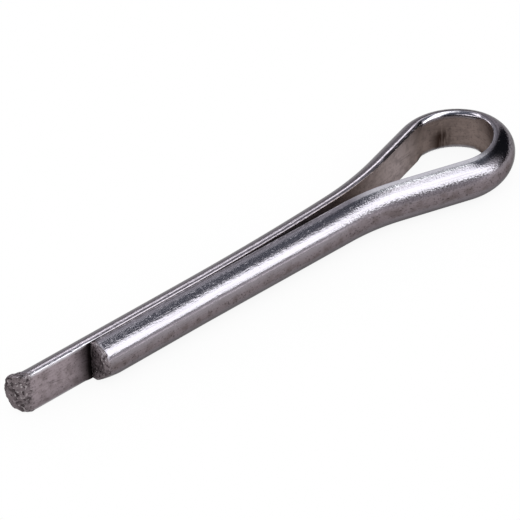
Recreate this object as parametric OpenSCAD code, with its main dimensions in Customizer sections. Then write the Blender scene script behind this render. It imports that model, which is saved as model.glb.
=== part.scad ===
// Cotter pin: one length of half-round steel wire, folded back on itself with its flat side inwards.
// The two legs close to a round shank, and the fold between them is an open teardrop eye.
// The long leg runs past the short one, so that the legs can be told apart and spread by hand.
// Units are millimetres. The shank's axis is X, and the origin is on it at the end of the short leg.
// +X points to the eye, +Y to the long leg, and the pin lies flat with +Z up.

/* [Wire] */
// Diameter of the round shank that the two closed legs make
pin_d = 5.9; // [4:0.1:8]
// Gap that the spring of the wire leaves between the closed flats
leg_gap = 0.1; // [0.05:0.05:0.5]
// Height of the narrow rolled strip along each side of the wire
strip_h = 0.55; // [0.4:0.05:1]
// Rounding where the flat meets the strips
edge_r = 0.2; // [0.1:0.05:0.35]

/* [Legs] */
// Length over which the legs lie closed, from the short leg's end
closed_len = 16.7; // [8:0.2:24]
// Reach of the long leg past the end of the short leg
prong_len = 11.2; // [3:0.1:20]
// Distance from the short leg's end to the start of the long leg's neck
long_neck_x = 41.2; // [35:0.1:48]
// Distance from the short leg's end to the start of the short leg's neck
short_neck_x = 43.2; // [35:0.1:48]
// Radius of the long leg's slow bow from the closed stretch to its neck
bow_r = 390; // [250:10:900]
// Angle at which the short leg leans out of the closed stretch
lean = 0.7; // [0.55:0.05:1.5]

/* [Eye] */
// Angle of the long leg's flank to the shank
long_flank = 16.2; // [12:0.1:24]
// Angle of the short leg's flank to the shank
short_flank = 16.6; // [12:0.1:24]
// Radius of the long leg's neck, at the flat
long_neck_r = 48; // [15:1:70]
// Radius of the short leg's neck, at the flat
short_neck_r = 14.5; // [6:0.1:30]
// Inner radius of the eye's shoulder on the long leg's side
long_shoulder_r = 6; // [4.5:0.1:7]
// Turn of the shoulder on the long leg's side
long_shoulder = 74.5; // [60:0.5:95]
// Inner radius of the eye's tip
tip_r = 4.05; // [3:0.05:5.5]
// Turn of the eye's tip
tip_turn = 73; // [50:0.5:85]
// Inner radius of the eye's shoulder on the short leg's side
short_shoulder_r = 6.8; // [4.5:0.1:7.5]

/* [Ends] */
// Rounding of the round back's rim at both sheared ends
rim_r = 0.6; // [0.3:0.1:1.2]
// Slant of the long leg's shear, with the upper edge reaching further
long_shear = 6; // [-12:1:12]
// Slant of the short leg's shear, with the upper edge reaching further
short_shear = 1; // [-12:1:12]
// Radius over which the shear has dragged the long leg's flat into its end
flat_drag = 2.4; // [1:0.1:2.6]
// Distance from the long leg's end at which its lower strip starts to roll off
long_under_run = 2.4; // [1.5:0.1:5]
// What the roll takes off the long leg's lower strip at its end
long_under_drop = 0.95; // [0.3:0.05:1.4]
// Distance from the short leg's end at which the lower side of its back starts to roll off
short_under_run = 3; // [1.5:0.1:5]
// What the roll takes off the lower side of the short leg's back at its end
short_under_drop = 0.55; // [0.2:0.05:0.8]

/* [Hidden] */
$fn = 96;

pin_r = pin_d / 2;
half_gap = leg_gap / 2;
// Half height of the wire across its side strips
half_width = sqrt(pow(pin_r, 2) - pow(half_gap + strip_h, 2));
// Every second stretch of the wire is fuller by this much, and its neighbours run into it by the lap,
// so that the stretches grip each other instead of only touching
swell = 0.04;
lap = 0.1;
// Arcs of a sheared end run past the faces that they meet by this much, which leaves a faint edge
overrun = 0.06;
// Sides of a leg, as turns about the shank's axis
flat_side = 0;
lower_side = 90;
lower_back = 135;

// A stretch of wire is [length, bend radius, turn], taken along the flat, where a left turn is positive
function straight(len) = [len, 0, 0];
function bend(r, turn) = [0, r, turn];

// Pose [x, y, heading] of the flat after one stretch
function after(pose, stretch) =
    let (h = pose[2], turn = stretch[2], r = sign(turn) * stretch[1])
    turn == 0
        ? [pose[0] + stretch[0] * cos(h), pose[1] + stretch[0] * sin(h), h]
        : [pose[0] + r * (sin(h + turn) - sin(h)), pose[1] + r * (cos(h) - cos(h + turn)), h + turn];

// Pose after the first n stretches of a route
function pose_at(start, route, n) = n == 0 ? start : after(pose_at(start, route, n - 1), route[n - 1]);

// The route leads from the long leg's closed stretch round the eye to the short leg's closed stretch
route_start = [closed_len, half_gap, 0];
route_end = [closed_len, -half_gap];
bow = asin((long_neck_x - closed_len) / bow_r);
short_run = (short_neck_x - closed_len) / cos(lean);
short_shoulder = 180 + long_flank + short_flank - long_shoulder - tip_turn;

// The route's stretches, for given lengths of the two flanks
function route_for(long_len, short_len) = [
    bend(bow_r, bow),
    bend(long_neck_r, long_flank - bow),
    straight(long_len),
    bend(long_shoulder_r, -long_shoulder),
    bend(tip_r, -tip_turn),
    bend(short_shoulder_r, -short_shoulder),
    straight(short_len),
    bend(short_neck_r, short_flank - lean),
    straight(short_run)
];

// The flanks are as long as it takes for the route to end where the short leg's closed stretch begins
bare_route = route_for(0, 0);
bare_end = pose_at(route_start, bare_route, len(bare_route));
miss = route_end - [bare_end[0], bare_end[1]];
long_way = [cos(long_flank), sin(long_flank)];
short_way = [-cos(short_flank), sin(short_flank)];
long_flank_len = cross(miss, short_way) / cross(long_way, short_way);
short_flank_len = cross(long_way, miss) / cross(long_way, short_way);
route = route_for(long_flank_len, short_flank_len);

// Half-round section, with X outwards from the flat and Y across the wire
module wire_section(fuller) {
    edge_y = half_width + fuller;
    difference() {
        intersection() {
            translate([-half_gap, 0]) circle(r = pin_r + fuller);
            translate([-fuller, -edge_y]) square([pin_d, 2 * edge_y]);
        }
        for (side = [0, 1]) {
            mirror([0, side]) translate([-fuller, edge_y]) edge_waste();
        }
    }
}

// What a rounded edge leaves off the section's square corner
module edge_waste() {
    difference() {
        translate([-edge_r, -edge_r]) square(2 * edge_r);
        translate([edge_r, -edge_r]) circle(r = edge_r);
    }
}

// Straight wire along X, with the flat on the X axis
module straight_wire(len, fuller, lap) {
    translate([-lap, 0, 0]) rotate([90, 0, 90]) linear_extrude(len + 2 * lap) wire_section(fuller);
}

// Wire bent to the left about a centre on its round side
module left_bend(r, turn, fuller, lap) {
    more = asin(lap / r);
    translate([0, r, 0]) rotate(-90 - more) rotate_extrude(angle = turn + 2 * more)
        translate([r, 0]) mirror([1, 0]) wire_section(fuller);
}

// Wire bent to the right about a centre on its flat side
module right_bend(r, turn, fuller, lap) {
    more = asin(lap / r);
    translate([0, -r, 0]) rotate(90 - turn - more) rotate_extrude(angle = turn + 2 * more)
        translate([r, 0]) wire_section(fuller);
}

// One stretch of the route, where an even one is the fuller and an odd one laps into its neighbours
module route_stretch(i) {
    fuller = i % 2 == 0 ? swell : 0;
    own_lap = i % 2 == 0 ? 0 : lap;
    turn = route[i][2];
    pose = pose_at(route_start, route, i);
    translate([pose[0], pose[1], 0]) rotate(pose[2]) {
        if (turn > 0) left_bend(route[i][1], turn, fuller, own_lap);
        if (turn < 0) right_bend(route[i][1], -turn, fuller, own_lap);
        if (turn == 0) straight_wire(route[i][0], fuller, own_lap);
    }
}

// What the shear and the tumbling take off a leg's end: all before the end's plane, and the back's rim
module end_waste(spare) {
    core_r = pin_r + overrun - rim_r;
    rotate([0, 90, 0]) rotate_extrude() difference() {
        translate([0, -spare]) square([pin_d, spare + rim_r]);
        square([core_r, 2 * rim_r]);
        translate([core_r, rim_r]) circle(r = rim_r);
    }
}

// What the shear drags off one side of a leg's end: a side at the given height above the shank's axis,
// which faces away from the leg and is turned about the axis, from the flat down to the back
module roll_waste(height, turn, run, drop, spare) {
    r = (pow(run, 2) + pow(drop, 2)) / (2 * drop);
    centre = [run - overrun, r - height - overrun];
    rotate([turn, 0, 0]) linear_extrude(2 * pin_d, center = true) difference() {
        translate([-spare, -pin_d]) square([spare + centre[0], pin_d - height + drop]);
        translate(centre) circle(r = r);
    }
}

// Closed stretch of a leg along X, with its sheared end at the origin, on the shank's axis
module closed_leg(len, shear) {
    spare = 1 + pin_r * tan(abs(shear));
    difference() {
        translate([-spare, half_gap, 0]) straight_wire(len + spare, 0, lap);
        rotate([0, -shear, 0]) {
            end_waste(2 * spare);
            children();
        }
    }
}

module long_leg() {
    translate([-prong_len, 0, 0]) closed_leg(prong_len + closed_len, long_shear) {
        roll_waste(-half_gap, flat_side, flat_drag, flat_drag, pin_d);
        roll_waste(half_width, lower_side, long_under_run, long_under_drop, pin_d);
    }
}

module short_leg() {
    mirror([0, 1, 0]) closed_leg(closed_len, short_shear)
        roll_waste(pin_r, lower_back, short_under_run, short_under_drop, pin_d);
}

module cotter_pin() {
    color([0.6, 0.58, 0.6]) {
        long_leg();
        for (i = [0 : len(route) - 1]) {
            route_stretch(i);
        }
        short_leg();
    }
}

cotter_pin();
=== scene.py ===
"""A steel cotter pin lying flat on a pale floor, under one large soft light and a dim ceiling."""

import itertools
import logging
import math
from dataclasses import dataclass
from enum import Enum

import bmesh
import bpy
import numpy as np
from mathutils import Matrix, Vector, noise


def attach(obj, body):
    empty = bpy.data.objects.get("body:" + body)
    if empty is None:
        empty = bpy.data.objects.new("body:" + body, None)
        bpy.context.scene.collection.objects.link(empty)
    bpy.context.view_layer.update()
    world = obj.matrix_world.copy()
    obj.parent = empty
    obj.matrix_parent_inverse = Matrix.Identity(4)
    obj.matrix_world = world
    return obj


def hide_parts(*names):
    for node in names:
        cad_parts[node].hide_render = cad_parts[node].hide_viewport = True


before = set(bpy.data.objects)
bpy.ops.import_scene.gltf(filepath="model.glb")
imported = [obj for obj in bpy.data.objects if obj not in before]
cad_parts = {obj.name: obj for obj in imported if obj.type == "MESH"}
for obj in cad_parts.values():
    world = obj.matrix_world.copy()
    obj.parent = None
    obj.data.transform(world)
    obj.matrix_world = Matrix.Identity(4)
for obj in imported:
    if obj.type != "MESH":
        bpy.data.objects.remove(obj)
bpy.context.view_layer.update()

log = logging.getLogger("cotter_pin")

MM = 0.001
WIRE_UV = "wire"

Tree = bpy.types.NodeTree
Socket = bpy.types.NodeSocket
Mesh = bpy.types.Mesh
# Where a change starts and where it is full, which may lie either way round
Span = tuple[float, float]
# Middle of a narrow band and how far it spreads
Band = tuple[float, float]
# Length, bend radius and turn to the left in degrees of one stretch of the wire
Stretch = tuple[float, float, float]


class Trace(Enum):
    """Names of what the sweep leaves on each point of the wire, to tell where on it the point lies."""

    ALONG = "along"
    INSET = "inset"
    HEADING = "heading"
    OUTWARD = "outward"
    UPWARD = "upward"
    AROUND = "around"


class Coat(Enum):
    """Names of what the steel's finish reads at each point of the wire, painted shade, highlights and
    reflections among them.
    """

    FLAT = "flat"
    # Lighter warm tint of the flat in the eye, painted light and reflection
    FLANK = "flank"
    # Dark scale with painted shade, low on the back and on the flat
    BELLY = "belly"
    MOTTLED = "mottled"
    # Brown at the eye's tip, painted reflection, and round its neck
    INSIDE = "inside"
    # Edges rubbed bright, with painted highlight lines along them
    EDGE = "edge"
    POLISH = "polish"
    # Scabs on the strips, and a painted dark reflection line along the long leg's strip
    SCABS_AND_DARK_LINE = "scabs_and_dark_line"
    END = "end"
    STAIN = "stain"
    # Painted contact shade in the corner beside the short leg's end
    PAINTED_CORNER_SHADE = "painted_corner_shade"
    ROUGH = "rough"
    DENT = "dent"
    GRAIN = "grain"
    PEEL = "peel"
    SCUFF = "scuff"


def linear(code: str) -> tuple[float, float, float, float]:
    """Turns a colour as it is seen into the linear values that a shader works with.

    Args:
        code: The colour as six hex digits.

    Returns:
        Linear red, green and blue, and an alpha of one.
    """
    channels = [int(code[i : i + 2], 16) / 255 for i in (0, 2, 4)]
    r, g, b = (c / 12.92 if c <= 0.04045 else ((c + 0.055) / 1.055) ** 2.4 for c in channels)
    return (r, g, b, 1.0)


def add(
    tree: Tree, kind: str, inputs: dict[int | str, object] | None = None, **settings: object
) -> Socket | None:
    """Adds one node to a tree, sets it up and connects it.

    Args:
        tree: The tree that the node goes into.
        kind: The node's type name.
        inputs: Values or output sockets by input name or index.
        **settings: The node's own properties.

    Returns:
        The first of the node's outputs that is in use, or nothing if it has none.
    """
    node = tree.nodes.new(kind)
    for name, value in settings.items():
        setattr(node, name, value)
    for key, value in (inputs or {}).items():
        socket = next(s for i, s in enumerate(node.inputs) if s.enabled and key in (i, s.name))
        if isinstance(value, Socket):
            tree.links.new(value, socket)
        else:
            socket.default_value = value
    return next((out for out in node.outputs if out.enabled), None)


def carry(mesh: Mesh, name: Trace | Coat, values: np.ndarray) -> None:
    """Gives a mesh's points values to carry.

    Args:
        mesh: The mesh, which is changed.
        name: The name of the values.
        values: One value for each point.
    """
    held = mesh.attributes.new(name.value, "FLOAT", "POINT")
    held.data.foreach_set("value", np.ascontiguousarray(values, dtype=np.float32))


def ramp(values: np.ndarray, span: Span) -> np.ndarray:
    """Rises from zero where a span starts to one where it is full.

    Args:
        values: One value for each point.
        span: The span.

    Returns:
        A share from zero to one for each point.
    """
    start, full = span
    return np.clip((values - start) / (full - start), 0, 1)


def bell(values: np.ndarray, band: Band) -> np.ndarray:
    """Falls from one in the middle of a band towards zero on both sides.

    Args:
        values: One value for each point.
        band: The band.

    Returns:
        A share from zero to one for each point.
    """
    middle, spread = band
    return np.exp(-(((values - middle) / spread) ** 2))


@dataclass(frozen=True)
class WireSection:
    """Half-round section of the wire, in millimetres, seen along the wire."""

    pin_d: float = 5.9
    leg_gap: float = 0.1
    strip_h: float = 0.55
    edge_r: float = 0.09
    # How far wear has made a straight chamfer of the flat's rounded edge
    worn_edge: float = 0.95
    # The strip's corner with the back lies this much lower than the rest of the strip
    strip_fall: float = 0.012
    # Points across the strip as shares of its height, of which the first is its corner with the back
    corner_share: float = 0.99
    strip_shares: tuple[float, ...] = (0.86, 0.7, 0.55, 0.4)
    # Points of the flat beside its edge, by their distance from it
    flat_margins: tuple[float, ...] = (0.1, 0.22)
    flat_points: int = 22
    edge_points: int = 6
    back_points: int = 44

    @property
    def pin_r(self) -> float:
        """Radius of the round shank that two legs make."""
        return self.pin_d / 2

    @property
    def half_gap(self) -> float:
        """Distance from the shank's axis to a leg's flat."""
        return self.leg_gap / 2

    @property
    def half_width(self) -> float:
        """Half height of the wire across its side strips."""
        return math.sqrt(self.pin_r**2 - (self.half_gap + self.strip_h) ** 2)

    def outline(self) -> np.ndarray:
        """Works out the section's outline.

        Returns:
            Points as rows of outward distance from the flat and height, from the lower strip over the
            flat and the upper strip to the back and round to the start.
        """
        h, e = self.half_width, self.edge_r
        upper = [(self.corner_share * self.strip_h, h - self.strip_fall)]
        upper += [(share * self.strip_h, h) for share in self.strip_shares]
        for t in np.linspace(0, math.pi / 2, self.edge_points):
            arc = np.array([e - e * math.sin(t), h - e + e * math.cos(t)])
            chord = np.array([e - 2 * e * t / math.pi, h - 2 * e * t / math.pi])
            upper.append(tuple(arc + self.worn_edge * (chord - arc)))
        upper += [(0.0, h - e - margin) for margin in self.flat_margins]
        lower = [(s, -z) for s, z in upper]
        inner = h - e - self.flat_margins[-1]
        flat = [(0.0, z) for z in np.linspace(-inner, inner, self.flat_points)[1:-1]]
        start = math.acos((h - self.strip_fall) / self.pin_r)
        turns = np.linspace(start, math.pi - start, self.back_points)
        back = [(self.pin_r * math.sin(a) - self.half_gap, self.pin_r * math.cos(a)) for a in turns]
        return np.array(lower + flat + upper[::-1] + back)


@dataclass(frozen=True)
class WireRoute:
    """Course of the wire's flat from the long leg's end round the eye to the short leg's end."""

    closed_len: float = 16.7
    prong_len: float = 11.2
    long_neck_x: float = 41.2
    short_neck_x: float = 41.0
    bow_r: float = 390.0
    lean: float = 0.7
    lean_r: float = 0.5
    long_flank: float = 16.2
    short_flank: float = 16.6
    long_neck_r: float = 48.0
    short_neck_r: float = 30.0
    long_shoulder_r: float = 6.0
    long_shoulder: float = 74.5
    tip_r: float = 4.05
    tip_turn: float = 73.0
    short_shoulder_r: float = 6.8
    # Spacing of the rings, which is halved over the length of an end, past its closest ones
    step: float = 0.26
    end_len: float = 3.2
    rim_rings: tuple[float, ...] = (0.0, 0.05, 0.11, 0.18)
    next_ring: float = 0.28
    # Rings of an end's face: how many, the smallest and the largest as shares of the rim, and their spacing
    face_rings: int = 12
    face_sizes: Span = (0.06, 0.985)
    face_step: float = 0.012

    @staticmethod
    def size(stretch: Stretch) -> float:
        """Gives the length of a stretch along the flat."""
        length, r, turn = stretch
        return length if turn == 0 else r * math.radians(abs(turn))

    def stretches(self, long_len: float, short_len: float) -> list[Stretch]:
        """Lists the stretches of the wire between the two closed legs.

        Args:
            long_len: Length of the long leg's straight flank.
            short_len: Length of the short leg's straight flank.

        Returns:
            The stretches, from the long leg to the short one.
        """
        bow = math.degrees(math.asin((self.long_neck_x - self.closed_len) / self.bow_r))
        run = (self.short_neck_x - self.closed_len) / math.cos(math.radians(self.lean))
        rest = 180 + self.long_flank + self.short_flank - self.long_shoulder - self.tip_turn
        return [
            (0, self.bow_r, bow),
            (0, self.long_neck_r, self.long_flank - bow),
            (long_len, 0, 0),
            (0, self.long_shoulder_r, -self.long_shoulder),
            (0, self.tip_r, -self.tip_turn),
            (0, self.short_shoulder_r, -rest),
            (short_len, 0, 0),
            (0, self.short_neck_r, self.short_flank - self.lean),
            (run, 0, 0),
        ]

    @staticmethod
    def after(pose: np.ndarray, stretch: Stretch, part: float = 1.0) -> np.ndarray:
        """Follows one stretch.

        Args:
            pose: Place and heading in degrees at its start.
            stretch: The stretch.
            part: How much of the stretch is followed.

        Returns:
            Place and heading after it.
        """
        length, r, turn = stretch
        h = math.radians(pose[2])
        if turn == 0:
            return pose + np.array([part * length * math.cos(h), part * length * math.sin(h), 0.0])
        r = math.copysign(r, turn)
        g = h + math.radians(part * turn)
        move = [r * (math.sin(g) - math.sin(h)), r * (math.cos(h) - math.cos(g)), part * turn]
        return pose + np.array(move)

    def solved(self, half_gap: float) -> list[Stretch]:
        """Finds the flanks' lengths with which the route ends where the short leg's closed stretch begins.

        Args:
            half_gap: Distance from the shank's axis to a leg's flat.

        Returns:
            All stretches from one end of the wire to the other.
        """
        pose = np.array([self.closed_len, half_gap, 0.0])
        for stretch in self.stretches(0, 0):
            pose = self.after(pose, stretch)
        miss = np.array([self.closed_len - pose[0], -half_gap - pose[1]])
        a, b = math.radians(self.long_flank), math.radians(self.short_flank)
        ways = np.array([[math.cos(a), -math.cos(b)], [math.sin(a), math.sin(b)]])
        long_len, short_len = np.linalg.solve(ways, miss)
        long_leg = [(self.prong_len + self.closed_len, 0, 0)]
        short_leg = [(0, self.lean_r, self.lean), (self.closed_len, 0, 0)]
        return long_leg + self.stretches(long_len, short_len) + short_leg

    def length(self, half_gap: float) -> float:
        """Adds up the wire's length along its flat, whose legs lie half a gap from the shank's axis."""
        return sum(self.size(stretch) for stretch in self.solved(half_gap))

    def eye_start(self, half_gap: float) -> float:
        """Adds up the wire's length from the long leg's end to the eye's first shoulder."""
        before = itertools.takewhile(lambda stretch: stretch[2] >= 0, self.solved(half_gap))
        return sum(self.size(stretch) for stretch in before)

    def stations(self, half_gap: float) -> np.ndarray:
        """Places the rings of the swept wire.

        Args:
            half_gap: Distance from the shank's axis to a leg's flat.

        Returns:
            Rows of x, y, distance along the wire, inset and heading. An inset below one is a ring of an
            end's face.
        """
        rows = []
        pose = np.array([-self.prong_len, half_gap, 0.0])
        done = 0.0
        for stretch in self.solved(half_gap):
            size = self.size(stretch)
            count = max(2, math.ceil(size / self.step))
            for part in np.arange(count) / count:
                at = self.after(pose, stretch, part)
                rows.append((at[0], at[1], done + part * size, 1.0, at[2]))
            pose = self.after(pose, stretch)
            done += size
        body = np.array(rows)
        body = body[(body[:, 2] > self.end_len) & (body[:, 2] < done - self.end_len)]
        near = np.concatenate([self.rim_rings, np.arange(self.next_ring, self.end_len, self.step / 2)])
        first = np.array([(d - self.prong_len, half_gap, d, 1.0, 0.0) for d in near])
        last = np.array([(d, -half_gap, done - d, 1.0, pose[2]) for d in near[::-1]])
        sizes = np.linspace(*self.face_sizes, self.face_rings)
        far = self.face_step * np.arange(self.face_rings, 0, -1)
        head = np.array([(-self.prong_len - d, half_gap, -d, q, 0.0) for d, q in zip(far, sizes)])
        tail = np.array([(-d, -half_gap, done + d, q, pose[2]) for d, q in zip(far[::-1], sizes[::-1])])
        return np.concatenate([head, first, body, last, tail])


@dataclass(frozen=True)
class ShearedEnd:
    """End of a leg: cut with a shear, dragged over at some sides and rough on its face."""

    place: tuple[float, float]
    outward: float
    shear: float
    slant_reach: float = 3.0
    rim_r: float = 0.6
    reach: float = 4.2
    # What the shear dragged over: the flat, of whose depth a small share stays, and one lower side
    flat_drag: float = 0.0
    drag_keep: float = 0.03
    least_room: float = 0.02
    under_run: float = 0.0
    under_drop: float = 0.0
    under_way: tuple[float, float] = (0.0, -1.0)
    under_height: float = 0.0
    # Swelling of the upper back beside the face
    hump: float = 0.0
    hump_z: Span = (0.6, 2.2)
    hump_out: Span = (0.4, 1.6)
    hump_len: float = 2.2
    hump_lean: float = 0.5
    # Roughness of the face: its height, its waves per millimetre, and their fall, spacing and octaves
    grain: float = 0.06
    grain_per_mm: float = 1.5
    grain_waves: tuple[float, float, int] = (0.9, 2.1, 4)
    zone: float = 0.2
    zone_fade: float = 0.3

    @staticmethod
    def roll(depth: np.ndarray, run: float, drop: float) -> np.ndarray:
        """Gives what a round roll-off takes away.

        Args:
            depth: Distance from the end.
            run: Distance at which the roll starts.
            drop: What it takes off at the end.

        Returns:
            What is gone at each depth.
        """
        if drop <= 0:
            return np.zeros_like(depth)
        r = (run**2 + drop**2) / (2 * drop)
        into = np.clip(run - depth, 0, run)
        return r - np.sqrt(np.maximum(r**2 - into**2, 0))

    def shape(
        self, depth: np.ndarray, inset: np.ndarray, s: np.ndarray, z: np.ndarray, cut: WireSection
    ) -> np.ndarray:
        """Shapes the rings near the end.

        Args:
            depth: Distance of each point from the end.
            inset: One on the wall, and below one on the end's face.
            s: Outward distance from the flat.
            z: Height.
            cut: The wire's section.

        Returns:
            Places of the points in millimetres.
        """
        a = np.maximum(depth, 0.0)
        rim = np.clip(self.rim_r - a, 0, self.rim_r)
        radius = cut.pin_r - (self.rim_r - np.sqrt(self.rim_r**2 - rim**2))
        floor = self.roll(a, self.flat_drag, self.flat_drag)
        low = np.maximum(s, floor + self.drag_keep * s)
        out = low + cut.half_gap
        room = np.sqrt(np.maximum(radius**2 - out**2, self.least_room))
        wide = np.minimum(room, cut.half_width)
        narrow = np.where(s < floor, z * wide / cut.half_width, z)
        far = np.hypot(out, narrow)
        pull = np.where(far > radius, radius / far, 1.0)
        out, high = out * pull, narrow * pull
        drop = self.roll(a, self.under_run, self.under_drop)
        over = out * self.under_way[0] + high * self.under_way[1] - (self.under_height - drop)
        over = np.maximum(over, 0) * (drop > 0)
        out, high = out - over * self.under_way[0], high - over * self.under_way[1]
        middle = (floor + radius) / 2
        out = middle + inset * (out - middle)
        high = inset * high
        slant = -high * math.tan(math.radians(self.shear)) * ramp(a, (self.slant_reach, 0.0))
        top = ramp(high, self.hump_z) * ramp(out, self.hump_out)
        swell = self.hump * top * np.clip(1 - (a / self.hump_len) ** 2, 0, 1) * inset
        x = self.place[0] + a + slant
        y = self.place[1] + self.outward * (out - cut.half_gap + swell * self.hump_lean)
        return np.stack([x, y, high + swell], axis=1)

    def plain(self, depth: np.ndarray, s: np.ndarray, z: np.ndarray) -> np.ndarray:
        """Places the same rings as the sweep leaves them, from their depth, outward distance and height."""
        return np.stack([self.place[0] + depth, self.place[1] + self.outward * s, z], axis=1)

    def worn(self, depth: np.ndarray) -> np.ndarray:
        """Falls from one on the end's face to zero along the wall, by the distance from the end."""
        return ramp(depth, (self.zone + self.zone_fade, self.zone))

    def roughen(self, points: np.ndarray, depth: np.ndarray, normals: np.ndarray) -> np.ndarray:
        """Moves points of the end's face and of the wall beside it along their normals, to roughen them."""
        waves = [noise.fractal(Vector(p * self.grain_per_mm), *self.grain_waves) for p in points]
        return points + normals * (self.grain * self.worn(depth) * np.array(waves))[:, None]


@dataclass(frozen=True)
class Marks:
    """Random marks on a surface, such as pits or scratches, with their size in millimetres.

    A mark shows from where the noise passes start, and has its most from where the noise passes full.
    """

    along: float
    across: float
    start: float
    full: float
    most: float = 1.0
    detail: float = 3.0

    def drawn(self, tree: Tree, place: Socket) -> Socket:
        """Adds the nodes that draw the marks.

        Args:
            tree: The material's tree.
            place: Place on the surface in millimetres.

        Returns:
            Zero between the marks, and up to the most on them.
        """
        size = (self.along, self.across, self.across)
        scaled = add(tree, "ShaderNodeVectorMath", {0: place, 1: size}, operation="DIVIDE")
        level = add(tree, "ShaderNodeTexNoise", {"Vector": scaled, "Scale": 1.0, "Detail": self.detail})
        spread = {"Value": level, "From Min": self.start, "From Max": self.full, "To Max": self.most}
        return add(tree, "ShaderNodeMapRange", spread)


@dataclass(frozen=True)
class Steel:
    """Mild steel wire, drawn half-round, folded cold and left bare and handled."""

    name: str = "drawn_mild_steel"
    # Colours as they are seen, some of them standing for painted shade, highlights and reflections
    bare: str = "8d878d"
    flat: str = "a3969b"
    # Dark scale with painted shade of the floor reflected near the pin, low on the back and the flat
    belly: str = "7d7377"
    # Lighter warm tint of the flat in the eye, painted light and reflection
    flank: str = "bbacab"
    # Brown at the eye's tip, painted reflection, and round its neck
    inside: str = "978781"
    scale: str = "5d5352"
    pit: str = "2b2728"
    # Edges rubbed bright, with painted highlight lines along them
    bright: str = "b6b0b5"
    polished: str = "d6d2d4"
    end: str = "82787b"
    end_dark: str = "362f31"
    end_light: str = "bcb4b6"
    stain: str = "33251f"
    # Painted contact shade in the corner beside the short leg's end
    painted_corner_shade: str = "14100f"
    grazing: str = "bdbdbd"
    # Roughness of the round back, of the eye's back, of the line beside a strip, of the flat and of the ends
    back_rough: float = 0.085
    eye_rough: float = 0.09
    brow_rough: float = 0.3
    flat_rough: float = 0.4
    end_rough: float = 0.5
    rough_swing: float = 0.06
    # Spots and scratches of the flat and the back
    mottle: Marks = Marks(along=1.3, across=1.1, start=0.46, full=0.64, most=0.6, detail=6.0)
    # Lines that the die has drawn, which are finer on real wire and as coarse here as they need to show
    streaks: Marks = Marks(along=9.0, across=0.12, start=0.46, full=0.28, most=0.35, detail=2.0)
    scratches: Marks = Marks(along=7.0, across=0.1, start=0.66, full=0.72, most=0.55, detail=1.0)
    scratch_slant: float = 12.0
    pits: Marks = Marks(along=0.3, across=0.24, start=0.42, full=0.36, most=0.6, detail=3.0)
    peel: Marks = Marks(along=0.3, across=0.2, start=0.5, full=0.41, most=0.85)
    scuffs: Marks = Marks(along=0.9, across=0.32, start=0.6, full=0.68, most=0.3, detail=4.0)
    scabs: Marks = Marks(along=0.5, across=0.25, start=0.3, full=0.48, most=0.9)
    smears: Marks = Marks(along=0.7, across=4.0, start=0.22, full=0.5)
    # Ragged border of the sheared ends, where the end's share and the fray together pass the limit
    fray: Marks = Marks(along=0.5, across=0.5, start=0.25, full=0.75, most=0.8)
    fray_limit: float = 0.75
    patches: Marks = Marks(along=1.1, across=1.1, start=0.5, full=0.36, most=0.7)
    crumbs: Marks = Marks(along=0.4, across=0.4, start=0.46, full=0.38, most=0.85)
    specks: Marks = Marks(along=0.32, across=0.32, start=0.58, full=0.66, most=0.85)
    lumps: Marks = Marks(along=0.38, across=0.38, start=0.25, full=0.75, most=1.0, detail=4.0)
    # Relief of the back, whose grain is finer on real wire and as coarse here as it needs to show
    dents: Marks = Marks(along=0.8, across=0.2, start=0.25, full=0.75, most=1.0, detail=3.0)
    grain: Marks = Marks(along=0.24, across=0.2, start=0.25, full=0.75, most=1.0, detail=3.0)
    dent_h: float = 0.014
    grain_h: float = 0.0015
    eye_grain_h: float = 0.014
    pit_h: float = 0.006
    lump_h: float = 0.08

    def marked(self, tree: Tree, spot: Socket, wire: Socket, held: dict[Coat, Socket]) -> dict[str, Socket]:
        """Draws the marks that only some places show.

        Args:
            tree: The material's tree.
            spot: Place in space in millimetres.
            wire: Place along and round the wire in millimetres.
            held: What the mesh's points carry.

        Returns:
            The marks by name, each with how strongly it shows.
        """
        turn = (0.0, 0.0, math.radians(self.scratch_slant))
        slanted = add(tree, "ShaderNodeMapping", {"Vector": wire, "Rotation": turn})
        made = {}
        for name, marks, place, coat in (
            ("mottle", self.mottle, spot, Coat.MOTTLED),
            ("pits", self.pits, spot, Coat.MOTTLED),
            ("peel", self.peel, spot, Coat.PEEL),
            ("scratches", self.scratches, slanted, Coat.FLAT),
            ("scabs", self.scabs, spot, Coat.SCABS_AND_DARK_LINE),
            ("smears", self.smears, wire, Coat.STAIN),
            ("lumps", self.lumps, spot, Coat.END),
            ("scuffs", self.scuffs, wire, Coat.SCUFF),
        ):
            both = {0: marks.drawn(tree, place), 1: held[coat]}
            made[name] = add(tree, "ShaderNodeMath", both, operation="MULTIPLY")
        return made

    def rubble(self, tree: Tree, spot: Socket) -> Socket:
        """Draws the colour of the crumbly sheared ends.

        Args:
            tree: The material's tree.
            spot: Place in space in millimetres.

        Returns:
            The colour.
        """
        colour = linear(self.end)
        for marks, code in (
            (self.patches, self.end_dark),
            (self.crumbs, self.end_dark),
            (self.specks, self.end_light),
        ):
            layers = {"Factor": marks.drawn(tree, spot), "A": colour, "B": linear(code)}
            colour = add(tree, "ShaderNodeMix", layers, data_type="RGBA")
        return colour

    def material(self) -> bpy.types.Material:
        """Makes the steel's material.

        Returns:
            The material, whose tree reads what the wire's mesh carries.
        """
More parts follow.
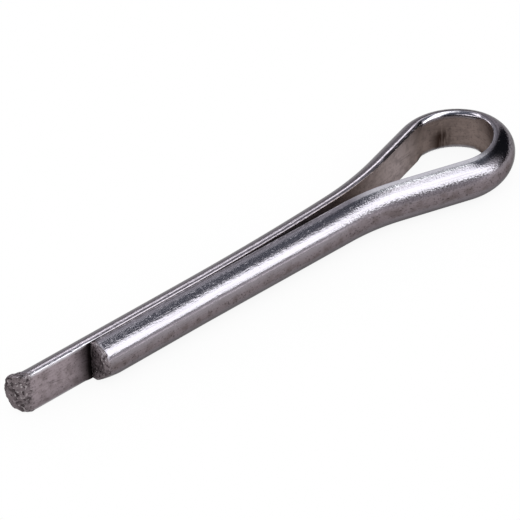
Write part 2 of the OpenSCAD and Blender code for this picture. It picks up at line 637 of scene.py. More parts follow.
        # Bare drawn steel mirrors its surroundings on the round back, in bands that its fine dents fray.
        # The flat is duller and warmer, with pits and scratches, and the sheared ends are dark and crumbly.
        # Painted light among the colours: shade low on the back and in the corner by the short leg's end,
        # highlight lines on the edges, warm reflection inside the eye, and a dark reflection line on the
        # long leg's strip.
        made = bpy.data.materials.new(self.name)
        made.use_nodes = True
        tree = made.node_tree
        tree.nodes.clear()
        spot = add(tree, "ShaderNodeTexCoord").node.outputs["Object"]
        spot = add(tree, "ShaderNodeVectorMath", {0: spot, 1: (MM, MM, MM)}, operation="DIVIDE")
        wire = add(tree, "ShaderNodeUVMap", uv_map=WIRE_UV)
        held = {}
        for coat in Coat:
            held[coat] = add(tree, "ShaderNodeAttribute", attribute_name=coat.value).node.outputs["Fac"]
        fray = {0: held[Coat.END], 1: self.fray.drawn(tree, spot)}
        fray = add(tree, "ShaderNodeMath", fray, operation="ADD")
        frayed = {"Value": fray, "From Min": self.fray_limit, "From Max": 1.0}
        held[Coat.END] = add(tree, "ShaderNodeMapRange", frayed)
        marked = self.marked(tree, spot, wire, held)

        colour = linear(self.bare)
        for mask, tint in (
            (held[Coat.FLAT], linear(self.flat)),
            # Dark scale with painted shade, low on the back and on the flat
            (held[Coat.BELLY], linear(self.belly)),
            # Painted light and warm reflection on the flat inside the eye
            (held[Coat.FLANK], linear(self.flank)),
            # Brown at the eye's tip, painted reflection, and round its neck
            (held[Coat.INSIDE], linear(self.inside)),
            (marked["mottle"], linear(self.scale)),
            (self.streaks.drawn(tree, wire), linear(self.scale)),
            (marked["scratches"], linear(self.pit)),
            (marked["pits"], linear(self.pit)),
            (held[Coat.POLISH], linear(self.polished)),
            # Edges rubbed bright, with painted highlight lines along them
            (held[Coat.EDGE], linear(self.bright)),
            (marked["peel"], linear(self.pit)),
            (marked["scabs"], linear(self.pit)),
            (held[Coat.END], self.rubble(tree, spot)),
            (marked["smears"], linear(self.stain)),
            # Painted contact shade in the corner beside the short leg's end
            (held[Coat.PAINTED_CORNER_SHADE], linear(self.painted_corner_shade)),
        ):
            colour = add(tree, "ShaderNodeMix", {"Factor": mask, "A": colour, "B": tint}, data_type="RGBA")

        grain = self.grain.drawn(tree, spot)
        swing = {0: grain, 1: self.rough_swing, 2: held[Coat.ROUGH]}
        rough = add(tree, "ShaderNodeMath", swing, operation="MULTIPLY_ADD")
        rough = add(tree, "ShaderNodeMath", {0: rough, 1: marked["scuffs"]}, operation="ADD")
        height = 0.0
        for relief, depth in (
            (self.dents.drawn(tree, wire), held[Coat.DENT]),
            (grain, held[Coat.GRAIN]),
            (marked["pits"], -self.pit_h),
            (marked["lumps"], self.lump_h),
        ):
            height = add(tree, "ShaderNodeMath", {0: relief, 1: depth, 2: height}, operation="MULTIPLY_ADD")
        bump = add(tree, "ShaderNodeBump", {"Height": height, "Strength": 1.0, "Distance": MM})
        surface = {"Base Color": colour, "Metallic": 1.0, "Roughness": rough, "Normal": bump}
        metal = add(tree, "ShaderNodeBsdfPrincipled", surface | {"Specular Tint": linear(self.grazing)})
        add(tree, "ShaderNodeOutputMaterial", {"Surface": metal})
        return made


@dataclass
class WirePoints:
    """Points of the wire's mesh, in millimetres and degrees, with what the sweep has left on them."""

    mesh: Mesh

    def read(self, name: Trace | Coat) -> np.ndarray:
        """Reads values that the points carry.

        Args:
            name: The name of the values.

        Returns:
            One value for each point.
        """
        held = np.zeros(len(self.mesh.vertices), dtype=np.float32)
        self.mesh.attributes[name.value].data.foreach_get("value", held)
        return held.astype(float)

    @property
    def along(self) -> np.ndarray:
        """Distance along the wire from the long leg's end."""
        return self.read(Trace.ALONG)

    @property
    def inset(self) -> np.ndarray:
        """One on the wire's wall, and below one on the faces of its ends."""
        return self.read(Trace.INSET)

    @property
    def heading(self) -> np.ndarray:
        """Heading of the wire."""
        return self.read(Trace.HEADING)

    @property
    def s(self) -> np.ndarray:
        """Outward distance from the flat in the plain section."""
        return self.read(Trace.OUTWARD)

    @property
    def z(self) -> np.ndarray:
        """Height in the plain section."""
        return self.read(Trace.UPWARD)

    @property
    def around(self) -> np.ndarray:
        """Distance round the section."""
        return self.read(Trace.AROUND)

    @property
    def worn(self) -> np.ndarray:
        """One on the rough faces of the ends, falling to zero along the wall."""
        return self.read(Coat.END)

    @property
    def places(self) -> np.ndarray:
        """Places in space.

        Returns:
            Rows of x, y and z.
        """
        points = np.zeros(3 * len(self.mesh.vertices))
        self.mesh.vertices.foreach_get("co", points)
        return points.reshape(-1, 3) / MM

    @property
    def x(self) -> np.ndarray:
        """Distance along the shank from the short leg's end."""
        return self.places[:, 0]

    @property
    def normals(self) -> np.ndarray:
        """Outward directions.

        Returns:
            Rows of x, y and z.
        """
        ways = np.zeros(3 * len(self.mesh.vertices))
        self.mesh.vertex_normals.foreach_get("vector", ways)
        return ways.reshape(-1, 3)

    def move(self, places: np.ndarray) -> None:
        """Puts the points at new places in space."""
        self.mesh.vertices.foreach_set("co", (places * MM).ravel())
        self.mesh.update()


@dataclass(frozen=True)
class Wear:
    """Where making and use have marked the wire, for its shape and for its finish, and where shade,
    highlights and reflections are painted on it.

    Spans and bands are in millimetres, or in degrees of the wire's heading or of the turn round its section.
    """

    section: WireSection
    route: WireRoute
    # Stretches of the wire, by x, by the distance past the eye's first shoulder or by the heading
    eye_x: Span = (36.0, 42.0)
    short_x: Span = (38.0, 36.0)
    leg_end: Span = (1.0, -0.5)
    long_flank_start: Span = (-16.0, -8.0)
    short_flank_heading: Span = (-165.0, -180.0)
    short_flank_x: Span = (42.0, 46.0)
    fade: Span = (0.0, 1.0)
    # Edges of the flat, which are tumbled round on the prong and crushed round where the eye bends
    prong_edge_r: float = 0.4
    eye_edge_r: float = 0.7
    crush_heading: Span = (-90.0, -70.0)
    # How far from the top and the bottom the zones of an edge reach, as shares of its rounding
    crush_reach: float = 0.75
    bright_reach: float = 0.8
    rim_reach: float = 1.3
    # The flat ends, and its bright edge has its middle, at this share of the keen edge's rounding
    flat_share: float = 0.5
    # Spreads of the bright lines, rubbed bright with painted highlight, on the flat's edges and the long
    # side's corners
    bright_spread: float = 0.12
    corner_spread: float = 0.1
    # The short flank's strip is pressed up at the flat and rubbed bright
    flank_rise: float = 0.07
    rise_reach: Span = (0.8, 0.1)
    polish_turn: Span = (24.0, 14.0)
    # Darker low on the flat and on the lower back, as dark scale with painted shade of the floor reflected
    # close to the pin, which starts higher in the eye and is less dark at the very bottom
    belly_turn: Span = (68.0, 88.0)
    belly_eye: float = 10.0
    under_turn: Span = (96.0, 106.0)
    under_less_dark: float = 0.7
    low_flat_shade: float = 0.6
    low_z: Span = (-0.8, -2.4)
    flat_mottle: float = 0.7
    eye_less_mottle: float = 0.15
    # Lighter warm tint of the flat in the eye, painted light and reflection that make up for its dim inner
    # walls, and brown at its tip, painted reflection, and at its neck
    warm_x: Span = (44.0, 50.0)
    tip_x: Span = (55.0, 60.0)
    neck_x: float = 44.0
    neck_reach: Span = (9.6, 1.6)
    neck_brown: float = 0.9
    # Matt line where the round back meets a strip, and bands of the back that are peeled or scuffed
    brow_turn: float = 14.0
    brow_reach: float = 5.0
    brow_share: float = 0.9
    upper_peel: float = 0.5
    upper_peel_turn: Band = (19.0, 8.0)
    lower_peel_turn: Band = (55.0, 5.0)
    scuff_turn: Band = (21.0, 9.0)
    scuff_x: Span = (47.0, 44.0)
    # Scabs on the strips: a dark hairline along the long leg, a painted reflection between the strip's two
    # bright lines, and ragged edges
    painted_dark_line_s: Band = (0.27, 0.1)
    painted_dark_line: float = 0.9
    ragged_s: float = 0.42
    short_ragged: float = 0.55
    # Stains inside the eye: a spot on the first shoulder, and a line along its foot
    spot_heading: Band = (-22.0, 14.0)
    spot_z: Span = (1.6, -0.4)
    foot_stain: float = 0.6
    foot_z: Span = (-1.7, -2.6)
    # Painted contact shade on the long leg's flat, in the corner where shade falls beside the short leg's
    # end, by the distance from that end out on to the prong
    close_off: Span = (1.625, 0.325)
    close_power: float = 1.5
    wide_off: Span = (3.5, 0.0)
    wide_corner_shade: float = 0.75
    covered_off: Span = (-4.0, 0.0)
    most_corner_shade: float = 0.92
    # An end is as rough as it gets from half its share of wear on
    end_rough: Span = (0.0, 0.5)
    # Dents are shallower in the eye and low on the back, and the eye has grain away from its strips
    eye_smooth: float = 0.6
    side_turn: Span = (44.0, 54.0)
    side_smooth: float = 0.65
    grain_s: Span = (0.7, 1.7)

    def eye(self, at: WirePoints) -> np.ndarray:
        """Rises from zero on the legs to one in the eye."""
        return ramp(at.x, self.eye_x)

    def past(self, at: WirePoints) -> np.ndarray:
        """Gives the distance along the wire past the start of the eye's first shoulder."""
        return at.along - self.route.eye_start(self.section.half_gap)

    def turn(self, at: WirePoints) -> np.ndarray:
        """Gives the turn round the section in degrees, from its top."""
        return np.degrees(np.arctan2(at.s + self.section.half_gap, at.z))

    def back(self, at: WirePoints) -> np.ndarray:
        """Is one on the strips and the round back."""
        return at.s > self.section.edge_r

    def below(self, at: WirePoints) -> np.ndarray:
        """Gives the distance from the section's top or bottom, whichever is closer."""
        return self.section.half_width - np.abs(at.z)

    def long_leg(self, at: WirePoints) -> np.ndarray:
        """Is one on the long leg, from the short leg's end to the eye's first shoulder."""
        return ramp(at.along - self.route.prong_len, self.fade) * ramp(self.past(at), self.leg_end)

    def short_flank(self, at: WirePoints) -> np.ndarray:
        """Is one on the eye's flank on the short leg's side, and zero round the shoulder and on the leg."""
        return ramp(at.heading, self.short_flank_heading) * ramp(at.x, self.short_flank_x)

    def edge_r(self, at: WirePoints) -> np.ndarray:
        """Works out how round the flat's edges are.

        Args:
            at: The wire's points.

        Returns:
            The rounding, which is more on the bare prong and where the eye's bend has crushed it.
        """
        keen = self.section.edge_r
        crushed = ramp(self.past(at), self.fade) * ramp(at.heading, self.crush_heading)
        prong = ramp(self.route.prong_len - at.along, self.fade)
        return keen + (self.eye_edge_r - keen) * crushed + (self.prong_edge_r - keen) * prong

    def rise(self, at: WirePoints) -> np.ndarray:
        """Gives how far the short flank's strip stands up at the flat."""
        slope = ramp(self.below(at), self.rise_reach) * ramp(at.s, (self.section.strip_h, 0.0))
        return self.flank_rise * self.short_flank(at) * slope

    def crushed(self, at: WirePoints) -> np.ndarray:
        """Is one on the edges that the eye's bend has crushed, which are rounder than the prong's."""
        r = self.edge_r(at)
        return (r > self.prong_edge_r) * (self.below(at) < self.crush_reach * r) * (at.s < r)

    def flat(self, at: WirePoints) -> np.ndarray:
        """Is one on the flat, inside its edges."""
        return (at.s < self.flat_share * self.section.edge_r) * (1 - self.crushed(at))

    def rim(self, at: WirePoints) -> np.ndarray:
        """Is one on the strips and on the flat's edges."""
        return self.below(at) < self.rim_reach * self.edge_r(at)

    def bright(self, at: WirePoints) -> np.ndarray:
        """Works out where an edge is rubbed bright and has a painted highlight.

        Args:
            at: The wire's points.

        Returns:
            One on the flat's edges off the long leg, on the long side's corners and where the eye is
            crushed.
        """
        line = bell(at.s, (self.flat_share * self.section.edge_r, self.bright_spread))
        line = line * (self.below(at) < self.bright_reach * self.edge_r(at)) * (1 - self.long_leg(at))
        # The long side's corner between strip and back carries a painted highlight line
        corner = bell(at.s, (self.section.strip_h, self.corner_spread)) * self.rim(at) * (self.past(at) < 0)
        return np.maximum.reduce([line, corner, self.crushed(at)])

    def polish(self, at: WirePoints) -> np.ndarray:
        """Is one on the rubbed top of the short flank."""
        return self.short_flank(at) * ramp(self.turn(at), self.polish_turn) * self.back(at)

    def belly(self, at: WirePoints) -> np.ndarray:
        """Works out where the lower back and the foot of the flat are darker, as dark scale with painted
        shade of the floor reflected close to the pin.

        Args:
            at: The wire's points.

        Returns:
            One where it is darkest.
        """
        # Dark scale with painted shade on the lower back, less dark at the very bottom
        scale = ramp(self.turn(at) + self.belly_eye * self.eye(at), self.belly_turn)
        left_dark = 1 - self.under_less_dark * ramp(self.turn(at), self.under_turn)
        return np.where(self.back(at), scale * left_dark, self.low_flat_shade * ramp(at.z, self.low_z))

    def mottled(self, at: WirePoints) -> np.ndarray:
        """Tells how strongly the scale breaks up into spots, on the flat and on the lower back."""
        flat = (self.flat_mottle - self.eye_less_mottle * self.eye(at)) * self.flat(at)
        return np.maximum(flat, self.belly(at))

    def inside(self, at: WirePoints) -> np.ndarray:
        """Is one where the flat is brown: at the eye's tip as painted reflection of the steel's own warm
        walls, and round its neck.
        """
        neck = self.neck_brown * ramp(np.abs(at.x - self.neck_x), self.neck_reach)
        return self.flat(at) * np.maximum(ramp(at.x, self.tip_x), neck)

    def brow(self, at: WirePoints) -> np.ndarray:
        """Works out where the matt line between the round back and a strip is.

        Args:
            at: The wire's points.

        Returns:
            One in the middle of the line, up to the eye.
        """
        turn = np.minimum(self.turn(at), 180 - self.turn(at))
        line = ramp(np.abs(turn - self.brow_turn), (self.brow_reach, 0.0))
        return line * (at.s > self.brow_share * self.section.strip_h) * (1 - self.eye(at))

    def peel(self, at: WirePoints) -> np.ndarray:
        """Works out where the eye's back is peeled.

        Args:
            at: The wire's points.

        Returns:
            One in the middle of the lower band, and less in the upper one.
        """
        upper = self.upper_peel * bell(self.turn(at), self.upper_peel_turn)
        lower = bell(self.turn(at), self.lower_peel_turn)
        return self.eye(at) * np.maximum(upper, lower) * self.back(at)

    def scuff(self, at: WirePoints) -> np.ndarray:
        """Is one on the scuffed band high on the legs' back, short of their ends."""
        band = bell(self.turn(at), self.scuff_turn) * ramp(at.x, self.scuff_x)
        return band * self.back(at) * (1 - at.worn)

    def scabs_and_dark_line(self, at: WirePoints) -> np.ndarray:
        """Works out where the strips have dark scabs, and the dark line painted as a reflection along the
        long leg's strip.

        Args:
            at: The wire's points.

        Returns:
            How thick the scabs and the painted line lie, from zero to one.
        """
        line = self.painted_dark_line * self.rim(at) * bell(at.s, self.painted_dark_line_s) * self.long_leg(at)
        flank = ramp(self.past(at), self.long_flank_start) * ramp(self.past(at), self.leg_end)
        short = self.short_ragged * (self.past(at) > 0) * ramp(at.x, self.short_x)
        return np.maximum(line, self.rim(at) * (at.s < self.ragged_s) * np.maximum(flank, short))

    def stain(self, at: WirePoints) -> np.ndarray:
        """Works out where the inside of the eye is stained.

        Args:
            at: The wire's points.

        Returns:
            How strong the stain is, from zero to one.
        """
        spot = bell(at.heading, self.spot_heading) * ramp(at.z, self.spot_z)
        foot = self.foot_stain * ramp(at.z, self.foot_z)
        return self.flat(at) * (self.past(at) > 0) * np.maximum(spot, foot)

    def painted_corner_shade(self, at: WirePoints) -> np.ndarray:
        """Works out where shade is painted, in the corner where the short leg's end meets the long leg's
        flat.

        Args:
            at: The wire's points.

        Returns:
            How dark the painted shade is, from zero to one.
        """
        off = self.route.prong_len - at.along
        close = ramp(off, self.close_off) ** self.close_power
        bare = np.maximum(close, self.wide_corner_shade * ramp(off, self.wide_off))
        held = np.where(off > 0, bare, ramp(off, self.covered_off))
        return self.flat(at) * np.clip(held, 0, self.most_corner_shade)

    def rough(self, at: WirePoints, steel: Steel) -> np.ndarray:
        """Works out how rough the steel is.

        Args:
            at: The wire's points.
            steel: The wire's finish.

        Returns:
            The shader's roughness.
        """
        rough = steel.back_rough + (steel.eye_rough - steel.back_rough) * self.eye(at)
        for mask, level in (
            (self.flat(at), steel.flat_rough),
            (self.brow(at), steel.brow_rough),
            (ramp(at.worn, self.end_rough), steel.end_rough),
        ):
            rough = rough + (level - rough) * mask
        return rough

    def layers(self, at: WirePoints, steel: Steel) -> dict[Coat, np.ndarray]:
        """Works out what the finish reads at each point, past the shape of the ends.

        Args:
            at: The wire's points.
            steel: The wire's finish.

        Returns:
            One value for each point, by name.
        """
        calm = 1 - self.side_smooth * ramp(self.turn(at), self.side_turn)
        dents = steel.dent_h * (1 - self.eye_smooth * self.eye(at)) * calm
        more_grain = (steel.eye_grain_h - steel.grain_h) * self.eye(at) * ramp(at.s, self.grain_s)
        return {
            Coat.FLAT: self.flat(at),
            Coat.BELLY: self.belly(at),
            Coat.MOTTLED: self.mottled(at),
            Coat.FLANK: self.flat(at) * ramp(at.x, self.warm_x),
            Coat.INSIDE: self.inside(at),
            Coat.EDGE: self.bright(at),
            Coat.POLISH: self.polish(at),
            Coat.PEEL: self.peel(at),
            Coat.SCUFF: self.scuff(at),
            Coat.SCABS_AND_DARK_LINE: self.scabs_and_dark_line(at),
            Coat.STAIN: self.stain(at),
            Coat.PAINTED_CORNER_SHADE: self.painted_corner_shade(at),
            Coat.ROUGH: self.rough(at, steel),
            Coat.DENT: dents,
            Coat.GRAIN: steel.grain_h + more_grain,
        }


@dataclass
class CotterPin:
    """The pin: one length of half-round wire folded back on itself."""

    section: WireSection = WireSection()
    route: WireRoute = WireRoute()
    finish: Steel = Steel()
    wave_mm: float = 2.6
    wave_depth: float = 0.004
    seed: int = 7
    # An edge is left as it was swept unless it is rounder by this much
    keen_margin: float = 0.001
    # Angle in degrees past which an edge of the mesh is a crease
    crease: float = 40.0
    # Distance from the section's last point to its first, to lay the surface out flat
    closing_step: float = 0.2

    @property
    def wear(self) -> Wear:
        """Where the wire is worn."""
        return Wear(self.section, self.route)

    def ends(self) -> tuple[ShearedEnd, ShearedEnd]:
        """Describes the wire's two ends.

        Returns:
            The long leg's end and the short leg's end.
        """
        gap, wide, r = self.section.half_gap, self.section.half_width, self.section.pin_r
        long_end = ShearedEnd(
            place=(-self.route.prong_len, gap), outward=1.0, shear=6.0,
            flat_drag=2.4, under_run=2.4, under_drop=0.95, under_height=wide,
            hump=0.35, grain=0.12, zone=0.8, zone_fade=2.2,
        )
        lower = math.sqrt(0.5)
        short_end = ShearedEnd(
            place=(0.0, -gap), outward=-1.0, shear=1.0,
            under_run=3.0, under_drop=0.55, under_way=(lower, -lower), under_height=r,
            grain=0.06, zone=0.3, zone_fade=0.6,
        )
        return long_end, short_end

    @staticmethod
    def skeleton(
        name: str, points: np.ndarray, closed: bool, traces: dict[Trace, np.ndarray]
    ) -> bpy.types.Object:
        """Makes a mesh of edges alone, which stands for a curve.

        Args:
            name: The object's name.
            points: Places in metres.
            closed: Whether the last point joins the first.
            traces: Values that the points carry.

        Returns:
            The new object.
        """
        count = len(points)
        edges = [(i, i + 1) for i in range(count - 1)] + ([(count - 1, 0)] if closed else [])
        mesh = bpy.data.meshes.new(name)
        mesh.from_pydata([tuple(p) for p in points], edges, [])
        for trace, values in traces.items():
            carry(mesh, trace, values)
        made = bpy.data.objects.new(name, mesh)
        bpy.context.scene.collection.objects.link(made)
        return made

    def tree(self) -> Tree:
        """Builds the tree that sweeps the section along the route and gives the wire its slight waves.

        Returns:
            A tree with named inputs for the section, the waves, the seed and the finish.
        """
        made = bpy.data.node_groups.new("swept_wire", "GeometryNodeTree")
        for name, kind in (
            ("Geometry", "NodeSocketGeometry"),
            ("Section", "NodeSocketObject"),
            ("Wave Length", "NodeSocketFloat"),
            ("Wave Depth", "NodeSocketFloat"),
            ("Seed", "NodeSocketInt"),
            ("Finish", "NodeSocketMaterial"),
        ):
            made.interface.new_socket(name, in_out="INPUT", socket_type=kind)
        made.interface.new_socket("Geometry", in_out="OUTPUT", socket_type="NodeSocketGeometry")
        given = add(made, "NodeGroupInput").node.outputs
        path = add(made, "GeometryNodeMeshToCurve", {"Mesh": given["Geometry"]})
        path = add(made, "GeometryNodeSetCurveNormal", {"Curve": path}, mode="Z_UP")
        shape = add(made, "GeometryNodeObjectInfo", {"Object": given["Section"]}).node.outputs["Geometry"]
        shape = add(made, "GeometryNodeMeshToCurve", {"Mesh": shape})
        swept = {"Curve": path, "Profile Curve": shape, "Fill Caps": True}
        swept = add(made, "GeometryNodeCurveToMesh", swept)
        scale = add(made, "ShaderNodeMath", {0: 1.0, 1: given["Wave Length"]}, operation="DIVIDE")
        waves = {"W": given["Seed"], "Scale": scale, "Detail": 1.0}
        waves = add(made, "ShaderNodeTexNoise", waves, noise_dimensions="4D")
        swing = add(made, "ShaderNodeMath", {0: waves, 1: 0.5}, operation="SUBTRACT")
        swing = add(made, "ShaderNodeMath", {0: swing, 1: given["Wave Depth"]}, operation="MULTIPLY")
        away = add(made, "GeometryNodeInputNormal")
        away = add(made, "ShaderNodeVectorMath", {0: away, "Scale": swing}, operation="SCALE")
        moved = add(made, "GeometryNodeSetPosition", {"Geometry": swept, "Offset": away})
        whole = add(made, "GeometryNodeRealizeInstances", {"Geometry": moved})
        dressed = add(made, "GeometryNodeSetMaterial", {"Geometry": whole, "Material": given["Finish"]})
        add(made, "NodeGroupOutput", {0: dressed})
        return made

    def sweep(self) -> bpy.types.Object:
        """Sweeps the section along the route.

        Returns:
            The wire as a plain mesh, with plain square ends.
        """
        outline = self.section.outline()
        s, z = outline[:, 0], outline[:, 1]
        steps = np.hypot(*np.diff(np.vstack([outline, outline[:1]]), axis=0).T)
        around = np.concatenate([[0], np.cumsum(steps)[:-1]])
        traces = {Trace.OUTWARD: s, Trace.UPWARD: z, Trace.AROUND: around}
        profile = np.stack([-s, -z, np.zeros_like(s)], axis=1) * MM
        section = self.skeleton("wire_section", profile, True, traces)
        stations = self.route.stations(self.section.half_gap)
        places = np.column_stack([stations[:, :2], np.zeros(len(stations))]) * MM
        traces = {Trace.ALONG: stations[:, 2], Trace.INSET: stations[:, 3], Trace.HEADING: stations[:, 4]}
        path = self.skeleton("wire_route", places, False, traces)
        tree = self.tree()
        sockets = {i.name: i.identifier for i in tree.interface.items_tree if i.in_out == "INPUT"}
        sweep = path.modifiers.new("sweep", "NODES")
        sweep.node_group = tree
        sweep[sockets["Section"]] = section
        sweep[sockets["Wave Length"]] = self.wave_mm * MM
        sweep[sockets["Wave Depth"]] = self.wave_depth * MM
        sweep[sockets["Seed"]] = self.seed
        sweep[sockets["Finish"]] = self.finish.material()
        graph = bpy.context.evaluated_depsgraph_get()
        mesh = bpy.data.meshes.new_from_object(path.evaluated_get(graph), depsgraph=graph)
        path.modifiers.remove(sweep)
        for helper in (path, section):
            bpy.data.objects.remove(helper)
        mesh.name = "cotter_pin"
        made = bpy.data.objects.new("cotter_pin_wire", mesh)
        bpy.context.scene.collection.objects.link(made)
        return made

    def round_edges(self, at: WirePoints) -> None:
        """Rounds the flat's edges where they are worn, and raises the short flank's strip.

        Args:
            at: The wire's points, which are moved.
        """
        s, z, heading = at.s, at.z, np.radians(at.heading)
        r = self.wear.edge_r(at)
        inner = np.abs(z) - (self.section.half_width - r)
        far = np.hypot(s - r, inner)
        outside = (inner > 0) & (s < r) & (far > r) & (r > self.section.edge_r + self.keen_margin)
        pull = np.divide(r, far, out=np.ones_like(r), where=outside)
        out = (r + (s - r) * pull) - s
        rise = np.sign(z) * (inner * (pull - 1) + self.wear.rise(at))
        at.move(at.places + np.stack([-np.sin(heading) * out, np.cos(heading) * out, rise], axis=1))

    def shape_ends(self, at: WirePoints) -> None:
        """Gives both ends of the swept wire their sheared form.

        Args:
            at: The wire's points, which are moved.
        """
        places, inset, s, z = at.places, at.inset, at.s, at.z
        depths = (at.along, self.route.length(self.section.half_gap) - at.along)
        worn = np.zeros(len(places))
        for end, depth in zip(self.ends(), depths):
            near = depth < end.reach
            plain = end.plain(depth[near], s[near], z[near])
            places[near] += end.shape(depth[near], inset[near], s[near], z[near], self.section) - plain
            worn = np.maximum(worn, end.worn(depth))
        at.move(places)
        normals = at.normals
        for end, depth in zip(self.ends(), depths):
            near = end.worn(depth) > 0
            places[near] = end.roughen(places[near], depth[near], normals[near])
        at.move(places)
        carry(at.mesh, Coat.END, worn)

    def lay_out(self, at: WirePoints) -> None:
        """Lays the wire's surface out flat in millimetres, along the wire and round its section.

        Args:
            at: The wire's points, whose mesh gets the layout.
        """
        mesh, along, around = at.mesh, at.along, at.around
        girth = float(around.max()) + self.closing_step
        corners = np.zeros(len(mesh.loops), dtype=np.int32)
        mesh.loops.foreach_get("vertex_index", corners)
        owner = np.repeat(np.arange(len(mesh.polygons)), [p.loop_total for p in mesh.polygons])
        v = around[corners]
        high = np.zeros(len(mesh.polygons))
        np.maximum.at(high, owner, v)
        v = np.where(high[owner] - v > girth / 2, v + girth, v)
        laid = mesh.uv_layers.new(name=WIRE_UV)
        laid.data.foreach_set("uv", np.stack([along[corners], v], axis=1).astype(np.float32).ravel())

    def smooth(self, mesh: Mesh) -> None:
        """Turns the faces outwards and smooths all but the creases.

        Args:
            mesh: The wire's mesh, which is changed.
        """
        work = bmesh.new()
        work.from_mesh(mesh)
        if work.calc_volume(signed=True) < 0:
            bmesh.ops.reverse_faces(work, faces=work.faces)
        for face in work.faces:
            face.smooth = True
        for seam in work.edges:
            seam.smooth = not (seam.is_manifold and seam.calc_face_angle(0.0) > math.radians(self.crease))
        loose = sum(not seam.is_manifold for seam in work.edges)
        volume = work.calc_volume(signed=True)
        work.to_mesh(mesh)
        work.free()
        log.info("%d faces, %d open edges, %.1f mm3", len(mesh.polygons), loose, volume / MM**3)

    def build(self) -> bpy.types.Object:
        """Builds the pin.

        Returns:
            The pin as one mesh at the origin.
        """
        made = self.sweep()
        at = WirePoints(made.data)
        self.round_edges(at)
        self.shape_ends(at)
        for coat, values in self.wear.layers(at, self.finish).items():
            carry(made.data, coat, values)
        self.lay_out(at)
        self.smooth(made.data)
        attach(made, "root")
        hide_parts("cotter_pin")
        return made


class Way(Enum):
    """Directions from the pin into its surroundings, which bound the panels there."""

    RIGHT = (1.0, 0.0, 0.0)
    LEFT = (-1.0, 0.0, 0.0)
    FAR = (0.0, 1.0, 0.0)
    NEAR = (0.0, -1.0, 0.0)
    UP = (0.0, 0.0, 1.0)
    DOWN = (0.0, 0.0, -1.0)
    CLOSE_LEFT = (-0.735, -0.675, 0.02)
    OVER = (0.375, 0.495, 0.784)
    UNDER = (-0.375, -0.495, -0.784)
    NEAR_RIGHT = (0.5, -0.87, 0.0)
    NEAR_LEFT = (-0.26, -0.97, 0.0)
    FAR_LEFT = (-0.77, 0.64, 0.0)
    RIGHT_NEAR = (0.93, -0.37, 0.0)
    LAMP = (-0.33, 0.39, 0.86)


@dataclass(frozen=True)
class Card:
    """Bright or pale panel of the surroundings, which shows where it is past every one of its sides.

    A side is a direction, how far along it the panel starts, and how softly.
    """

    name: str
    colour: str
    strength: float
    sides: tuple[tuple[Way, float, float], ...]


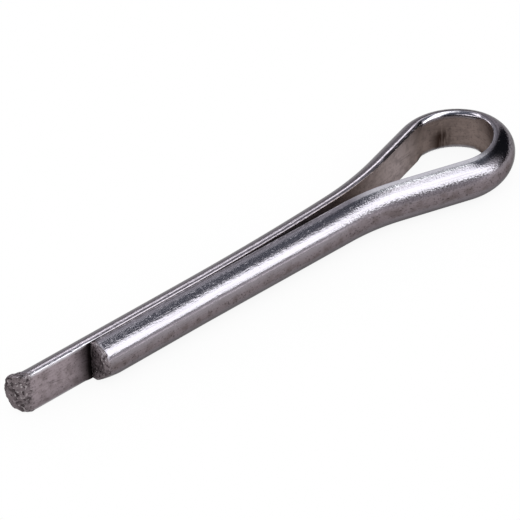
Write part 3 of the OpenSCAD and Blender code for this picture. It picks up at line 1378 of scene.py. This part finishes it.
@dataclass(frozen=True)
class Studio:
    """Floor, surroundings and camera."""

    floor_z: float = -2.9
    # Reach of the floor in metres, to the left and the right, and the other way round in depth
    floor_reach: Span = (-30.0, 50.0)
    floor_tint: str = "e6e6e6"
    white: str = "ffffff"
    shade_mm: float = 14.0
    shade_seen: float = 0.05
    shade_mirrored: float = 0.5
    ceiling: str = "6f7580"
    dimmest: float = 0.12
    cards: tuple[Card, ...] = (
        Card("ceiling", "6f7580", 1.1, ((Way.UP, 0.6, 0.3), (Way.LEFT, -0.64, 0.08))),
        Card(
            "softbox", "f8ffff", 4.05,
            ((Way.CLOSE_LEFT, -0.03, 0.04), (Way.OVER, -0.01, 0.03), (Way.RIGHT, 0.02, 0.03)),
        ),
        Card(
            "overhead panel", "f8ffff", 3.8,
            (
                (Way.RIGHT, 0.2, 0.04), (Way.LEFT, -0.41, 0.025),
                (Way.FAR, -0.24, 0.06), (Way.NEAR, -0.18, 0.06), (Way.UP, 0.8, 0.05),
            ),
        ),
        Card(
            "glow beside the softbox", "f4f4f8", 1.3,
            ((Way.CLOSE_LEFT, -0.235, 0.185), (Way.RIGHT, 0.58, 0.05), (Way.UP, 0.2, 0.15)),
        ),
        Card(
            "panel past the eye", "f2f0f4", 0.8,
            (
                (Way.RIGHT, 0.68, 0.06), (Way.DOWN, -0.56, 0.06),
                (Way.FAR, 0.39, 0.06), (Way.NEAR, -0.64, 0.05),
            ),
        ),
        Card("lamp", "f4f4f8", 2.4, ((Way.LAMP, 0.952, 0.02),)),
        Card(
            "far strip", "f4f4f8", 1.5,
            ((Way.LEFT, -0.36, 0.05), (Way.UP, 0.66, 0.05), (Way.FAR, 0.46, 0.04), (Way.NEAR, -0.59, 0.04)),
        ),
        Card(
            "low panel", "f4f2f6", 0.95,
            (
                (Way.RIGHT, 0.0, 0.25), (Way.UNDER, 0.05, 0.03), (Way.UP, -0.1, 0.05),
                (Way.NEAR_RIGHT, 0.0, 0.1), (Way.NEAR_LEFT, 0.0, 0.1),
            ),
        ),
        Card(
            "glow above the floor", "f4f0f2", 1.5,
            (
                (Way.RIGHT, 0.25, 0.2), (Way.UP, -0.1, 0.05), (Way.DOWN, -0.05, 0.04),
                (Way.NEAR_RIGHT, 0.0, 0.1), (Way.NEAR_LEFT, 0.0, 0.1),
            ),
        ),
        Card(
            "far wall", "f2f0f4", 0.55,
            (
                (Way.FAR_LEFT, 0.0, 0.1), (Way.RIGHT_NEAR, 0.0, 0.1),
                (Way.UP, -0.1, 0.05), (Way.DOWN, -0.5, 0.1),
            ),
        ),
        Card(
            "narrow window", "f4f4f8", 3.2,
            ((Way.FAR_LEFT, 0.0, 0.1), (Way.UP, 0.4, 0.05), (Way.DOWN, -0.54, 0.05)),
        ),
        Card(
            "far panel", "f4f4f8", 0.7,
            ((Way.LEFT, -0.62, 0.1), (Way.RIGHT, 0.3, 0.1), (Way.FAR, 0.2, 0.12), (Way.UP, 0.44, 0.08)),
        ),
    )
    camera_mm: tuple[float, float, float] = (-188.37, -245.03, 257.64)
    azimuth: float = -41.3628
    elevation: float = 38.192
    roll: float = -0.9018
    lens: float = 230.75
    sensor_mm: float = 36.0
    clip_mm: float = 10.0

    def floor(self) -> bpy.types.Object:
        """Lays a plain pale floor that is white to the eye and keeps a faint shadow.

        Returns:
            The floor.
        """
        z = self.floor_z * MM
        low, high = self.floor_reach
        corners = [(low, -high, z), (high, -high, z), (high, -low, z), (low, -low, z)]
        mesh = bpy.data.meshes.new("floor")
        mesh.from_pydata(corners, [], [(0, 1, 2, 3)])
        made = bpy.data.objects.new("floor", mesh)
        bpy.context.scene.collection.objects.link(made)
        # Pale card that glows where the eye meets it, so that it looks white and shows only a faint shadow
        card = bpy.data.materials.new("pale_card")
        card.use_nodes = True
        tree = card.node_tree
        tree.nodes.clear()
        seen = add(tree, "ShaderNodeLightPath").node.outputs
        mirrored = {0: seen["Is Glossy Ray"], 1: seen["Is Transmission Ray"]}
        mirrored = add(tree, "ShaderNodeMath", mirrored, operation="MAXIMUM")
        shown = add(tree, "ShaderNodeMath", {0: seen["Is Camera Ray"], 1: mirrored}, operation="MAXIMUM")
        power = {"Factor": mirrored, "A": self.shade_seen, "B": self.shade_mirrored}
        power = add(tree, "ShaderNodeMix", power, data_type="FLOAT")
        shade = add(tree, "ShaderNodeAmbientOcclusion", {"Distance": self.shade_mm * MM}).node.outputs["AO"]
        level = add(tree, "ShaderNodeMath", {0: shade, 1: power}, operation="POWER")
        light = add(tree, "ShaderNodeEmission", {"Color": linear(self.white), "Strength": level})
        matt = add(tree, "ShaderNodeBsdfDiffuse", {"Color": linear(self.floor_tint)})
        both = add(tree, "ShaderNodeMixShader", {0: shown, 1: matt, 2: light})
        add(tree, "ShaderNodeOutputMaterial", {"Surface": both})
        mesh.materials.append(card)
        return made

    def surroundings(self) -> None:
        """Sets a dim room with bright and pale cards, which is white where the eye meets it."""
        world = bpy.data.worlds.new("studio")
        world.use_nodes = True
        bpy.context.scene.world = world
        tree = world.node_tree
        tree.nodes.clear()
        ahead = add(tree, "ShaderNodeTexCoord").node.outputs["Generated"]
        light = add(tree, "ShaderNodeBackground", {"Color": linear(self.ceiling), "Strength": self.dimmest})
        for card in self.cards:
            shown = card.strength
            for way, limit, soft in card.sides:
                turn = add(tree, "ShaderNodeVectorMath", {0: ahead, 1: way.value}, operation="DOT_PRODUCT")
                past = {"Value": turn, "From Min": limit - soft, "From Max": limit + soft}
                past = add(tree, "ShaderNodeMapRange", past, interpolation_type="SMOOTHSTEP")
                shown = add(tree, "ShaderNodeMath", {0: shown, 1: past}, operation="MULTIPLY")
            panel = {"Color": linear(card.colour), "Strength": shown}
            panel = add(tree, "ShaderNodeBackground", panel, label=card.name)
            light = add(tree, "ShaderNodeAddShader", {0: light, 1: panel})
        white = add(tree, "ShaderNodeBackground", {"Color": linear(self.white), "Strength": 1.0})
        seen = add(tree, "ShaderNodeLightPath").node.outputs["Is Camera Ray"]
        shown = add(tree, "ShaderNodeMixShader", {0: seen, 1: light, 2: white})
        add(tree, "ShaderNodeOutputWorld", {"Surface": shown})

    def camera(self) -> bpy.types.Object:
        """Sets the camera where the photograph was taken from.

        Returns:
            The camera.
        """
        az, el, roll = (math.radians(v) for v in (self.azimuth, self.elevation, self.roll))
        back = Vector((math.sin(az) * math.cos(el), -math.cos(az) * math.cos(el), math.sin(el)))
        right = Vector((math.cos(az), math.sin(az), 0.0))
        up = back.cross(right)
        across = math.cos(roll) * right + math.sin(roll) * up
        above = math.cos(roll) * up - math.sin(roll) * right
        eye = bpy.data.cameras.new("camera")
        eye.sensor_width = self.sensor_mm
        eye.lens = self.lens
        eye.clip_start = self.clip_mm * MM
        made = bpy.data.objects.new("camera", eye)
        turn = Matrix((across, above, back)).transposed().to_4x4()
        made.matrix_world = Matrix.Translation(Vector(self.camera_mm) * MM) @ turn
        bpy.context.scene.collection.objects.link(made)
        bpy.context.scene.camera = made
        return made

    def build(self) -> list[bpy.types.Object]:
        """Sets up everything round the pin.

        Returns:
            The floor and the camera.
        """
        made = [self.floor(), self.camera()]
        self.surroundings()
        bpy.context.scene.view_settings.view_transform = "Standard"
        return made


def main() -> None:
    """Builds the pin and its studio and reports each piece."""
    logging.basicConfig(level=logging.INFO, format="%(name)s: %(message)s")
    for piece in (CotterPin().build(), *Studio().build()):
        log.info("built %s", piece.name)


if __name__ == "__main__":
    main()
